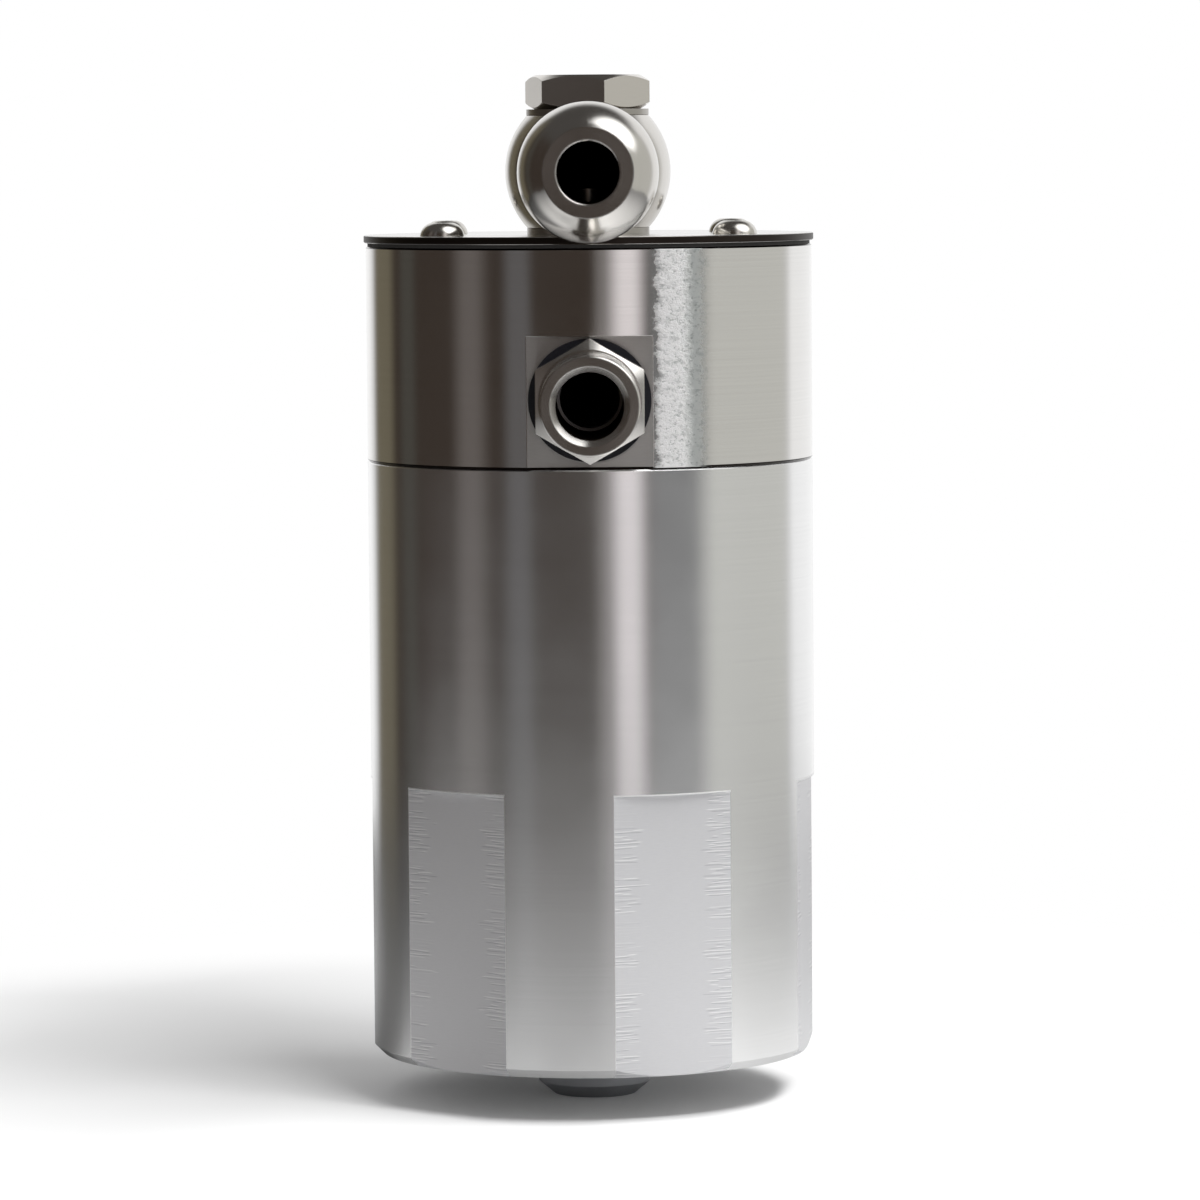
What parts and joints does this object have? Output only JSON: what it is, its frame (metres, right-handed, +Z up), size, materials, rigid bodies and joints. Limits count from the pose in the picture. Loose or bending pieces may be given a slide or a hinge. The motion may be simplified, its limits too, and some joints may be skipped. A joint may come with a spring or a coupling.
{
  "type": "oil catch can",
  "caption": "Turned aluminium oil catch can with a screw-on bowl, wrench flats, side inlet, swivelling top outlet and drain plug foot.",
  "frame": {"origin": "centre of the drain plug's foot, on the surface that the can stands on", "axes": "+Z up along the can's axis, both hose tails point to -Y, +X to the right seen from the tails' side"},
  "size_m": [0.0768, 0.0999, 0.175],
  "materials": {
    "head_aluminium": "fine turned, nearly mirror",
    "bowl_aluminium": "fine turned satin, milled flats",
    "plug_steel": "turned satin",
    "lid_steel": "polished sheet with a dark cut edge",
    "screw_steel": "polished",
    "fitting_aluminium": "turned and polished",
    "inner_steel": "plain",
    "inner_aluminium": "plain",
    "spring_steel": "plain",
    "mesh_wire": "knitted wire",
    "washer_aluminium": "satin",
    "gasket_rubber": "matt black",
    "seal_rubber": "matt black"
  },
  "bodies": {
    "head": {"head": "head_aluminium", "lid_gasket": "gasket_rubber", "lid_plate": "lid_steel", "lid_screws": "screw_steel", "lower_washer": "washer_aluminium", "upper_washer": "washer_aluminium", "nut_washer": "washer_aluminium", "outlet_nut": "inner_steel", "outlet_bolt": "fitting_aluminium", "inlet_seal": "seal_rubber", "inlet_fitting": "fitting_aluminium", "dip_tube": "inner_aluminium", "upper_grid": "inner_aluminium", "mesh_pack": "mesh_wire", "lower_grid": "inner_aluminium", "media_ring": "spring_steel"},
    "bowl_seal": {"bowl_seal": "seal_rubber"},
    "bowl": {"bowl": "bowl_aluminium", "sump_baffle": "bowl_aluminium", "baffle_ring": "spring_steel"},
    "drain_seal": {"drain_seal": "seal_rubber"},
    "drain_plug": {"drain_plug": "plug_steel"},
    "outlet": {"outlet_fitting": "fitting_aluminium"}
  },
  "joints": [
    {"name": "bowl_lower", "type": "slide", "parent": "head", "child": "bowl_seal", "axis": [0, 0, -1], "range_m": [0, 0.0151]},
    {"name": "bowl_turn", "type": "hinge", "parent": "bowl_seal", "child": "bowl", "pos_m": [0, 0, 0.1095], "axis": [0, 0, -1], "range_deg": [0, 3600]},
    {"name": "plug_lower", "type": "slide", "parent": "bowl", "child": "drain_seal", "axis": [0, 0, -1], "range_m": [0, 0.00812]},
    {"name": "plug_turn", "type": "hinge", "parent": "drain_seal", "child": "drain_plug", "pos_m": [0, 0, 0.0079], "axis": [0, 0, -1], "range_deg": [0, 2160]},
    {"name": "outlet_swivel", "type": "hinge", "parent": "head", "child": "outlet", "pos_m": [0, 0, 0.1586], "axis": [0, 0, 1], "continuous": true}
  ],
  "couplings": [
    {"joint": "bowl_lower", "follows": "bowl_turn", "m_per_rad": 0.00023873},
    {"joint": "plug_lower", "follows": "plug_turn", "m_per_rad": 0.00021279}
  ]
}
